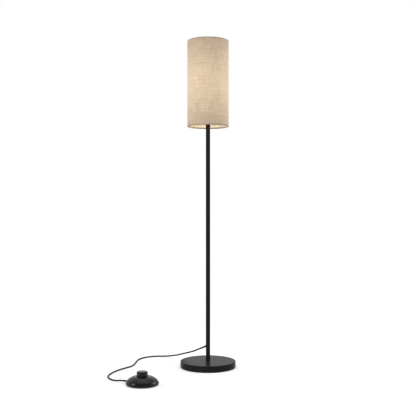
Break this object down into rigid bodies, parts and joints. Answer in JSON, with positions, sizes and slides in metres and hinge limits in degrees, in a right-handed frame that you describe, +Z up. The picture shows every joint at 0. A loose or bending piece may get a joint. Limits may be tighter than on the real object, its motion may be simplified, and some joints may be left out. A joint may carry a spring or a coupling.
{
  "type": "floor lamp",
  "caption": "Column floor lamp with a round weighted base, a slim tube column, a tall linen drum shade and a flex with a domed foot switch on the floor.",
  "frame": {"origin": "centre of the base on the floor", "axes": "+Z up along the column; -Y is the front, from which the flex leaves to the left"},
  "size_m": [0.5638, 0.656, 1.5],
  "materials": {
    "satin_black_steel": "satin black powder coat",
    "cast_stone": "raw cast",
    "black_rubber": "matte moulded",
    "zinc_steel": "zinc plated",
    "brass": "turned, bright",
    "black_flex": "satin extruded sheath",
    "black_thermoset": "moulded, matte",
    "black_gloss_abs": "moulded, polished",
    "steatite": "unglazed",
    "core_insulation": "extruded insulation",
    "opal_diffuser": "opal, lit",
    "white_plastic": "moulded",
    "nickel_cap": "nickel plated",
    "black_glass": "fused",
    "linen": "plain weave, natural",
    "lining": "smooth sheet",
    "white_wire": "white powder coat",
    "nylon": "moulded",
    "blue_acetal": "moulded",
    "spring_steel": "drawn wire"
  },
  "bodies": {
    "root": {"base_cover": "satin_black_steel", "base_weight": "cast_stone", "base_pad": "black_rubber", "base_washer": "zinc_steel", "base_bolt": "zinc_steel", "column_lower": "satin_black_steel", "column_middle": "satin_black_steel", "column_upper": "satin_black_steel", "column_foot": "zinc_steel", "column_joiners": "zinc_steel", "column_sleeves": "zinc_steel", "column_top": "satin_black_steel", "top_nipple": "brass", "column_gland": "black_rubber", "column_lead": "black_flex", "cord": "black_flex", "holder_cap": "black_thermoset", "holder_body": "black_thermoset", "holder_core": "steatite", "shell_contact": "brass", "centre_contact": "brass", "holder_screws": "brass", "holder_cores": "core_insulation", "shade_ring": "black_thermoset", "shade_fabric": "linen", "shade_liner": "lining", "shade_trims": "linen", "shade_seam": "linen", "shade_top_ring": "white_wire", "shade_bottom_ring": "white_wire", "shade_spokes": "white_wire", "shade_fitter": "white_wire", "switch_cover": "black_gloss_abs", "switch_pad": "black_rubber", "switch_base": "black_thermoset", "cover_screws": "zinc_steel", "button_spring": "spring_steel", "switch_block": "nylon", "contact_blades": "brass", "terminal_blocks": "brass", "terminal_screws": "zinc_steel", "cord_clamps": "black_thermoset", "clamp_screws": "zinc_steel", "switch_gland": "black_rubber", "outlet_bush": "black_rubber", "switch_lead": "black_flex", "switch_cores": "core_insulation"},
    "button": {"switch_button": "black_gloss_abs", "plunger": "nylon"},
    "rotor": {"contact_rotor": "blue_acetal", "rotor_bridge": "brass"},
    "bulb": {"bulb_tip": "nickel_cap", "bulb_insulator": "black_glass", "bulb_cap": "nickel_cap", "bulb_neck": "white_plastic", "bulb_board": "white_plastic", "bulb_globe": "opal_diffuser"}
  },
  "joints": [
    {"name": "button_press", "type": "slide", "parent": "root", "child": "button", "axis": [0, 0, -1], "range_m": [0, 0.005], "stiffness_N_per_m": 1500, "springref_m": -0.004, "deforming": ["button_spring"]},
    {"name": "rotor_turn", "type": "hinge", "parent": "root", "child": "rotor", "pos_m": [-0.272, -0.346, 0.011], "axis": [0, 0, 1], "range_deg": [0, 46]},
    {"name": "bulb_lift", "type": "slide", "parent": "root", "child": "bulb", "axis": [0, 0, 1], "range_m": [0, 0.285]}
  ],
  "couplings": [
    {"joint": "rotor_turn", "follows": "button_press", "rad_per_m": 157.08}
  ]
}
